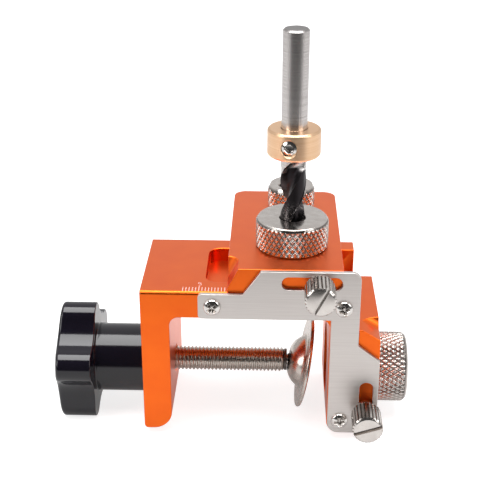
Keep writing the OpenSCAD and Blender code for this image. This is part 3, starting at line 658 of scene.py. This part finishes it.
def collarAndGrub():
    low, high = span("stop_collar")
    centre = (low + high) / 2
    tall, mouth = high[2] - low[2], collar["mouth"]
    r, bore, bevel = collar["outer"] / 2, collar["bore"] / 2, collar["bevel"]
    profile = bent([(bore, tall / 2), (bore, mouth), (bore + mouth, 0), (r - bevel, 0), (r, bevel),
                    (r, tall - bevel), (r - bevel, tall), (bore + mouth, tall), (bore, tall - mouth),
                    (bore, tall / 2)], collar["round"])
    angle = np.linspace(0, turn, collar["sides"] + 1)[None, :]
    piece = revolve("stop_collar_turned", profile[:, :1], profile[:, 1:], angle,
                    [centre[0], centre[1], low[2]])
    flat = np.isin(profile[:, 1:], (0.0, tall)) + 0.0 * angle
    storeValues(piece, "end", flat)
    cleanUp(piece, 30)
    hole, start, sides = collar["hole"] / 2, collar["holeStart"], collar["holeSides"]
    sink, over = collar["countersink"], collar["over"]
    cutter = radialBar("hole_cutter", centre, [(0, start), (hole, start), (hole, r - sink),
                                               (hole + sink + over, r + over), (0, r + over)], sides)
    cleanUp(cutter)
    cutBy(piece, [cutter])
    cleanUp(piece, 30)
    steadyShade(piece)
    place(piece, "collar", "satin_brass", "stop_collar")

    near, out, thread = bore + grubScrew["back"], r - grubScrew["sink"], hole - grubScrew["gap"]
    rings = [(0, near), (thread - grubScrew["backBevel"], near), (thread, near + grubScrew["backLong"]),
             (thread, out - grubScrew["faceLong"]), (thread - grubScrew["faceBevel"], out), (0, out)]
    grub = radialBar("grub_screw_turned", centre, rings, sides)
    cleanUp(grub, 30)
    across = grubScrew["socket"] / math.sqrt(3)
    deep = out - grubScrew["socketDeep"]
    bevel, over = grubScrew["socketBevel"], grubScrew["over"]
    rings = [(0, deep - grubScrew["socketEnd"]), (across, deep), (across, out - bevel),
             (across + bevel + over, out + over), (0, out + over)]
    cutter = radialBar("socket_cutter", centre, rings, 6, grubScrew["socketTurn"])
    cleanUp(cutter)
    cutBy(grub, [cutter])
    cleanUp(grub, 25)
    steadyShade(grub)
    place(grub, "collar_grub", "zinc_screws", "collar_grub_screw")


collarAndGrub()


# Twist drill: at each height the section is a circle with two round flutes cut into it. Where a
# flute's circle, radius f at a distance d from the axis, reaches inside the drill's own radius,
# the section's radius is d cos(t) - sqrt(f f - d d sin(t) sin(t)), with t from the flute's middle.
drill = {"across": 8.0, "fluteTop": 34.4, "runOut": 4.2, "ease": 1.6, "fluteShare": 0.78, "web": 2.0,
         "helix": 30.0, "point": 118.0, "bevel": 0.5, "marginAngle": 0.12, "landAngle": 0.03,
         "clear": 0.16, "step": 0.45, "pointRows": 9, "columns": 144, "start": 12.0, "dipFrom": 0.3,
         "fade": 0.3, "blackTop": 33.5, "blackSlant": 0.7, "endDark": 0.6, "rubbedTop": 24.5,
         "rubbedFade": 4.0, "rubbedDip": 0.25, "edgeFade": 0.05}


def twistDrill():
    low, high = span("drill_bit")
    x, y, _ = (low + high) / 2
    r = drill["across"] / 2
    top, tip = high[2], low[2]
    pointTall = r / math.tan(math.radians(drill["point"] / 2))
    lead = math.pi * drill["across"] / math.tan(math.radians(drill["helix"]))
    fluteEnd = drill["fluteTop"] + drill["runOut"]
    z = np.concatenate([np.linspace(tip, tip + pointTall, drill["pointRows"])[1:],
                        np.arange(tip + pointTall + drill["step"], fluteEnd, drill["step"]),
                        [fluteEnd, (fluteEnd + top) / 2, top - drill["bevel"], top, top]])[:, None]
    phase = np.linspace(0, turn, drill["columns"] + 1)[None, :]
    rise = np.clip((z - drill["fluteTop"]) / drill["runOut"], 0, 1) ** drill["ease"]
    lift = (r - drill["web"] / 2) * rise
    flute = r * drill["fluteShare"]
    d = drill["web"] / 2 + flute + lift
    t = (phase + math.pi / 2) % math.pi - math.pi / 2
    under = flute ** 2 - (d * np.sin(t)) ** 2
    cut = np.where(under > 0, d * np.cos(t) - np.sqrt(np.maximum(under, 0)), 2 * r)
    half = np.arccos(np.clip((r ** 2 + d ** 2 - flute ** 2) / (2 * r * d), -1, 1))
    land = np.clip((np.abs(t) - half) / drill["landAngle"], 0, 1)
    leading = (t < 0) & (np.abs(t) < half + 2 * drill["marginAngle"])
    body = r - drill["clear"] * land * (~leading) * (z < drill["fluteTop"])
    full = np.clip((z - tip) / pointTall, 0, 1) * r
    radius = np.minimum(np.minimum(body, cut), np.maximum(full, 0.0))
    radius[-2:] = [[r - drill["bevel"]], [0.0]]
    radius = np.concatenate([np.zeros((1, phase.size)), radius])
    z = np.concatenate([[[tip]], z])
    twist = turn * (np.minimum(z, fluteEnd) - tip) / lead + math.radians(drill["start"])
    dip = np.concatenate([np.ones_like(phase), r - np.minimum(body, cut)])
    inFlute = np.clip((dip - drill["dipFrom"]) / drill["edgeFade"], 0, 1)
    fluteDark = inFlute * np.clip((drill["fluteTop"] - z) / drill["fade"] + 1, 0, 1)
    dipLine = drill["blackTop"] + drill["blackSlant"] * np.cos(phase + twist)  # dipped at a slant
    landDark = np.clip((dipLine - z) / drill["fade"], 0, 1)
    dark = np.maximum(fluteDark, landDark)
    dark[-2:] = drill["endDark"]
    piece = revolve("twist_drill", radius, z, phase + twist, [x, y, 0.0])
    storeValues(piece, "dark", dark)
    storeValues(piece, "end", (z >= top) + 0.0 * phase)
    onLand = np.clip((drill["rubbedDip"] - dip) / drill["edgeFade"], 0, 1)
    rubbed = onLand * np.clip((drill["rubbedTop"] - z) / drill["rubbedFade"], 0, 1)
    storeValues(piece, "rubbed", rubbed)
    cleanUp(piece, 28)
    place(piece, "drill", "tool_steel", "drill_bit")


twistDrill()
print("drill and collar made")


# Clamp screw: a thread carried round the rod. The profile runs across one pitch, and each row of
# the grid is a helix, so crest and root stay crisp: x = start + pitch (row + column) / steps.
clamp = {"across": 8.0, "pitch": 1.25, "root": 0.52, "crestShare": 0.2, "flankShare": 0.6,
         "acrossSteps": 10, "roundSteps": 48, "endDeep": 0.25, "gap": 0.05, "neck": 3.6, "neckIn": 0.5,
         "ball": 5.9, "ballRows": 24, "ballSides": 64}


def clampScrew():
    low, high = span("clamp_screw")
    y, z = ((low + high) / 2)[1:]
    r, pitch = clamp["across"] / 2, clamp["pitch"]
    ballR, neckR = clamp["ball"] / 2, clamp["neck"] / 2
    ballX = high[0] - ballR
    start, end = low[0], span("pad_neck_ring")[0][0] - clamp["gap"]
    k, n = clamp["acrossSteps"], clamp["roundSteps"]
    turns = math.ceil((end - start) / pitch) + 1
    row = np.arange(-k, turns * k + 1)[:, None]
    column = np.arange(n + 1)[None, :]
    along = start + pitch * (row / k + column / n)
    share = (row % k) / k  # 0 is the middle of the crest and 0.5 the middle of the root
    away = np.abs(share - np.round(share)) * 2
    depth = clamp["root"] * np.clip((away - clamp["crestShare"]) / clamp["flankShare"], 0, 1)
    x = np.clip(along, start, end)
    limit = r - clamp["root"] - clamp["endDeep"] + np.minimum(x - start, end - x)
    radius = np.minimum(r - depth, limit)
    angle = turn * column / n + 0 * row
    points = np.stack([x, y + radius * np.cos(angle), z + radius * np.sin(angle)], -1)
    faces = gridFaces(*x.shape)
    piece = newPiece("clamp_screw_thread", points.reshape(-1, 3), faces)
    shape = bmesh.new()
    shape.from_mesh(piece.data)
    bmesh.ops.remove_doubles(shape, verts=shape.verts, dist=merging * mm)
    rims = [e for e in shape.edges if e.is_boundary]
    bmesh.ops.holes_fill(shape, edges=rims, sides=0)
    shape.to_mesh(piece.data)
    shape.free()
    cleanUp(piece, 40)
    place(piece, "clamp", "plated_steel", "clamp_screw")

    swing = np.linspace(math.pi - math.asin(neckR / ballR), 0, clamp["ballRows"])
    neckStart = end - clamp["neckIn"]
    neck = [(0.0, neckStart), (neckR, neckStart)]
    ball = np.stack([ballR * np.sin(swing), ballX + ballR * np.cos(swing)], -1)
    profile = np.concatenate([neck, ball])
    ballPiece = revolve("clamp_screw_ball", profile[:, :1], profile[:, 1:],
                        np.linspace(0, turn, clamp["ballSides"] + 1)[None, :], [0.0, y, z], "x")
    cleanUp(ballPiece, 40)
    place(ballPiece, "clamp", "plated_steel")


clampScrew()


# Swivel pad: a pressed dome and a rolled flange, revolved, then tilted about the ball's centre
pad = {"across": 30.8, "flange": 1.3, "face": 3.9, "dome": 17.6, "mouth": 7.8, "droop": 9.5, "gap": 0.1,
       "bellShare": 0.55, "slopeShare": 0.6, "domeRows": 16, "rimRows": 9, "sides": 96, "neckRoom": 0.7,
       "floor": 1.2, "floorWide": 2.0, "lip": 0.5, "flat": 4.0, "round": 0.25,
       "flare": [(0.25, -0.75), (0.6, -0.3), (1.5, 0.0)]}


def swivelPad():
    ringLow, ringHigh = span("pad_neck_ring")
    low, high = span("clamp_screw")
    y, z = ((low + high) / 2)[1:]
    centreX = high[0] - clamp["ball"] / 2
    tilt = math.radians(pad["droop"])
    ringReach = (ringHigh[2] - ringLow[2]) / 2 * math.sin(tilt)
    back = centreX - ringHigh[0] - pad["gap"] - ringReach
    r, domeR, mouthR = pad["across"] / 2, pad["dome"] / 2, pad["mouth"] / 2
    flangeBack = pad["face"] - pad["flange"]
    t = np.linspace(0, 1, pad["domeRows"])
    bell = pad["bellShare"] * np.sin(t * math.pi / 2) + (1 - pad["bellShare"]) * t
    slope = pad["slopeShare"] * (1 - np.cos(t * math.pi / 2)) + (1 - pad["slopeShare"]) * t
    dome = np.stack([mouthR + (domeR - mouthR) * bell, -back + (flangeBack + back) * slope], -1)
    half = pad["flange"] / 2
    roll = np.linspace(-math.pi / 2, math.pi / 2, pad["rimRows"])
    rim = np.stack([r - half + half * np.cos(roll), pad["face"] - half + half * np.sin(roll)], -1)
    holeR = clamp["neck"] / 2 + pad["neckRoom"]
    inside = [(0.0, pad["floor"]), (pad["floorWide"], pad["floor"]), (holeR, 0.0), (holeR, -back),
              (mouthR - pad["lip"], -back)]
    flare = np.array(pad["flare"]) + [domeR, flangeBack]
    face = [(r - pad["flat"], pad["face"]), (0.0, pad["face"])]
    profile = bent(np.concatenate([inside, dome[:-1], flare, rim, face]), pad["round"], 3)
    columns = np.linspace(0, turn, pad["sides"] + 1)[None, :]
    radius, height = profile[:, :1] + 0 * columns, profile[:, 1:] + 0 * columns
    across, up = radius * np.cos(columns), radius * np.sin(columns)
    x = centreX + height * math.cos(tilt) + up * math.sin(tilt)
    points = np.stack([x, y + across, z - height * math.sin(tilt) + up * math.cos(tilt)], -1)
    piece = newPiece("swivel_pad_pressed", points.reshape(-1, 3), gridFaces(*x.shape))
    cleanUp(piece, 38)
    steadyShade(piece)
    place(piece, "pad", "plated_steel", "swivel_pad")


swivelPad()


# Star knob: the outline has a round lobe at each fifth of a turn, joined by round hollows. The
# outer and inner edges are rounded by moving the outline inwards along its own normals.
knob = {"tip": 19.93, "lobe": 5.39, "hollow": 11.6, "lobes": 5, "dome": 1.0, "head": 12.0, "crown": 1.6,
        "round": 1.2, "backRound": 0.4, "hub": 22.6, "hubRound": 0.4, "fillet": 0.6, "pocket": 6.1,
        "pocketDeep": 11.0, "rodHole": 4.1, "rodDeep": 14.2, "domeRows": 12, "bendRows": 9,
        "easeShare": 0.3}


def knobOutline(steps=14):  # points round the outline, and the outward normal at each
    at, half = knob["tip"] - knob["lobe"], math.pi / knob["lobes"]
    reach = knob["lobe"] + knob["hollow"]
    sweep = half + math.asin(at * math.sin(half) / reach)
    far = at * math.cos(half) + math.sqrt(reach ** 2 - (at * math.sin(half)) ** 2)
    points, normals = [], []
    for k in range(knob["lobes"]):
        middle = math.pi / 2 + 2 * half * k
        a = middle + np.linspace(-sweep, sweep, steps, endpoint=False)
        points.append(np.stack([at * math.cos(middle) + knob["lobe"] * np.cos(a),
                                at * math.sin(middle) + knob["lobe"] * np.sin(a)], -1))
        normals.append(np.stack([np.cos(a), np.sin(a)], -1))
        b = middle + half + math.pi + np.linspace(sweep - half, half - sweep, steps, endpoint=False)
        away = middle + half
        points.append(np.stack([far * math.cos(away) + knob["hollow"] * np.cos(b),
                                far * math.sin(away) + knob["hollow"] * np.sin(b)], -1))
        normals.append(-np.stack([np.cos(b), np.sin(b)], -1))
    points, normals = np.concatenate(points), np.concatenate(normals)
    return np.r_[points, points[:1]], np.r_[normals, normals[:1]]


def starKnob():
    low, high = span("star_knob")
    rodLow, rodHigh = span("clamp_screw")
    y, z = ((rodLow + rodHigh) / 2)[1:]
    face = low[0] + knob["dome"]
    back, hubEnd = face + knob["head"], high[0]
    outline, normal = knobOutline()
    bend = np.linspace(0, math.pi / 2, knob["bendRows"])
    outer = np.hypot(outline[:, 0], outline[:, 1])
    rim = low[0] + knob["crown"] * (outer / knob["tip"]) ** 2  # the dome's height at the outline
    front = [(knob["round"] * (1 - math.sin(b)), rim + knob["round"] * (1 - math.cos(b))) for b in bend]
    rear = [(knob["backRound"] * (1 - math.cos(b)), back - knob["backRound"] * (1 - math.sin(b)))
            for b in bend]
    rows = front + rear
    rings = [np.c_[x + 0 * outer, outline - inset * normal] for inset, x in rows]
    inner = outline - knob["round"] * normal
    shares = np.linspace(0, 1, knob["domeRows"])[:-1]
    domeRings = [np.c_[low[0] + (rim - low[0]) * s * s, inner * s] for s in shares]
    hubR, ease, part, fillet = knob["hub"] / 2, knob["hubRound"], knob["easeShare"], knob["fillet"]
    pocketEnd, rodEnd = hubEnd - knob["pocketDeep"], hubEnd - knob["rodDeep"]
    angle = np.unwrap(np.arctan2(outline[:, 1], outline[:, 0]))
    hub = [(hubR + fillet, back), (hubR + fillet * part, back + fillet * part), (hubR, back + fillet),
           (hubR, hubEnd - ease), (hubR - ease * part, hubEnd - ease * part), (hubR - ease, hubEnd),
           (knob["pocket"], hubEnd), (knob["pocket"], pocketEnd), (knob["rodHole"], pocketEnd),
           (knob["rodHole"], rodEnd), (0.0, rodEnd)]
    hubRings = [np.c_[np.full(len(outline), x), r * np.cos(angle), r * np.sin(angle)] for r, x in hub]
    points = np.stack(domeRings + rings + hubRings) + [0.0, y, z]
    piece = newPiece("star_knob_moulded", points.reshape(-1, 3), gridFaces(*points.shape[:2]))
    cleanUp(piece, 40)
    steadyShade(piece)
    place(piece, "clamp", "black_plastic", "star_knob")


starKnob()

# The small ring and the hidden insert keep their CAD solids with a finish of their own
for node, slot in (("pad_neck_ring", "black_oxide_screw"), ("knob_insert", "satin_brass")):
    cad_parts[node].data.materials.clear()
    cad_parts[node].data.materials.append(finish[slot])
print("clamp and knob made")


# Camera at the photograph's angle
view = {"place": (0.013406, -0.317369, 0.203808), "tilt": 65.41, "swing": 1.97, "lens": 80.49,
        "sensor": 36.0, "near": 0.01, "far": 50.0}
cameraData = bpy.data.cameras.new("camera")
cameraData.lens, cameraData.sensor_width = view["lens"], view["sensor"]
cameraData.clip_start, cameraData.clip_end = view["near"], view["far"]
camera = bpy.data.objects.new("camera", cameraData)
camera.location = view["place"]
camera.rotation_euler = (math.radians(view["tilt"]), 0.0, math.radians(view["swing"]))
bpy.context.scene.collection.objects.link(camera)
bpy.context.scene.camera = camera

# Studio: a soft box overhead, one at each side, a pale table and a white surround. The table is
# bright round the object, and the room in front of it is dark.
studio = {"floor": 4.0, "albedo": 0.42, "lift": 0.8, "mirrorLift": 0.3, "overhead": 7.0, "left": 4.2,
          "right": 3.4, "front": 0.05, "back": 0.7, "frontY": -0.3, "backY": 0.1, "room": 0.06,
          "tableNear": 0.13, "tableEdge": 0.24}


def softBox(name, centre, aim, size, radiance):  # a lamp whose face shows this radiance
    lamp = bpy.data.lights.new(name, "AREA")
    lamp.shape, lamp.size, lamp.size_y = "RECTANGLE", *size
    lamp.energy = radiance * math.pi * size[0] * size[1]
    box = bpy.data.objects.new(name, lamp)
    box.location = centre
    heading = np.subtract(aim, centre)
    box.rotation_euler = (
        math.atan2(math.hypot(heading[0], heading[1]), -heading[2]), 0.0,
        math.atan2(heading[0], -heading[1]) + math.pi)
    bpy.context.scene.collection.objects.link(box)


# Places, aims and face sizes in metres
boxes = {"overhead": ((0.0, -0.05, 1.05), (0.0, -0.05, 0.0), (1.1, 0.76)),
         "left": ((-0.95, -0.55, 0.55), (0.0, 0.0, 0.05), (0.55, 0.75)),
         "right": ((0.95, -0.5, 0.55), (0.0, 0.0, 0.05), (0.55, 0.75))}
for side, (centre, aim, size) in boxes.items():
    softBox(side + "_box", centre, aim, size, studio[side])

half = studio["floor"] / 2
floorMesh = bpy.data.meshes.new("studio_floor")
floorMesh.from_pydata([(-half, -half, 0), (half, -half, 0), (half, half, 0), (-half, half, 0)], [],
                      [(0, 1, 2, 3)])
floor = bpy.data.objects.new("studio_floor", floorMesh)
bpy.context.scene.collection.objects.link(floor)
floorMaterial = bpy.data.materials.new("pale_matt_floor")
floorMaterial.use_nodes = True
tree = floorMaterial.node_tree
tree.nodes.clear()
rays = addNode(tree, "LightPath")
mirrored = addNode(tree, "Math", links={0: rays.outputs["Is Glossy Ray"],
                                        1: rays.outputs["Is Transmission Ray"]}, operation="MAXIMUM")
spot = addNode(tree, "SeparateXYZ", links={0: addNode(tree, "TexCoord").outputs["Object"]})
near = addNode(tree, "MapRange", {"From Min": -studio["tableEdge"], "From Max": -studio["tableNear"]},
               {"Value": spot.outputs["Y"]}).outputs["Result"]
pale = addNode(tree, "MapRange", {"To Min": studio["room"], "To Max": studio["albedo"]}, {"Value": near})
shine = addNode(tree, "Math", {1: studio["mirrorLift"]}, {0: near}, operation="MULTIPLY")
white = addNode(tree, "MapRange", {"To Min": 1.0, "To Max": studio["lift"]}, {"Value": near})
mirrored = addNode(tree, "Math", links={0: mirrored.outputs[0], 1: shine.outputs[0]}, operation="MULTIPLY")
lift = addNode(tree, "Math", links={0: rays.outputs["Is Camera Ray"], 1: white.outputs["Result"],
                                    2: mirrored.outputs[0]}, operation="MULTIPLY_ADD")
matt = addNode(tree, "BsdfDiffuse", links={"Color": pale.outputs["Result"]})
glow = addNode(tree, "Emission", {"Color": (1, 1, 1, 1)}, {"Strength": lift.outputs[0]})
both = addNode(tree, "AddShader", links={0: matt.outputs[0], 1: glow.outputs[0]})
addNode(tree, "OutputMaterial", links={"Surface": both.outputs[0]})
floorMesh.materials.append(floorMaterial)

# The surround is dark in front, where the room is, and white behind; the camera sees it white
world = bpy.data.worlds.new("white_surround")
bpy.context.scene.world = world
world.use_nodes = True
tree = world.node_tree
tree.nodes.clear()
around = addNode(tree, "TexCoord")
split = addNode(tree, "SeparateXYZ", links={0: around.outputs["Generated"]})
depth = addNode(tree, "MapRange", {"From Min": studio["frontY"], "From Max": studio["backY"],
                                   "To Min": studio["front"], "To Max": studio["back"]},
                {"Value": split.outputs["Y"]})
rays = addNode(tree, "LightPath")
strength = addNode(tree, "Mix", {3: 1.0}, {0: rays.outputs["Is Camera Ray"],
                                           2: depth.outputs["Result"]})
shade = addNode(tree, "Background", {"Color": (1, 1, 1, 1)}, {"Strength": strength.outputs[0]})
addNode(tree, "OutputWorld", links={"Surface": shade.outputs[0]})
bpy.context.scene.view_settings.view_transform = "Standard"
print("studio set")
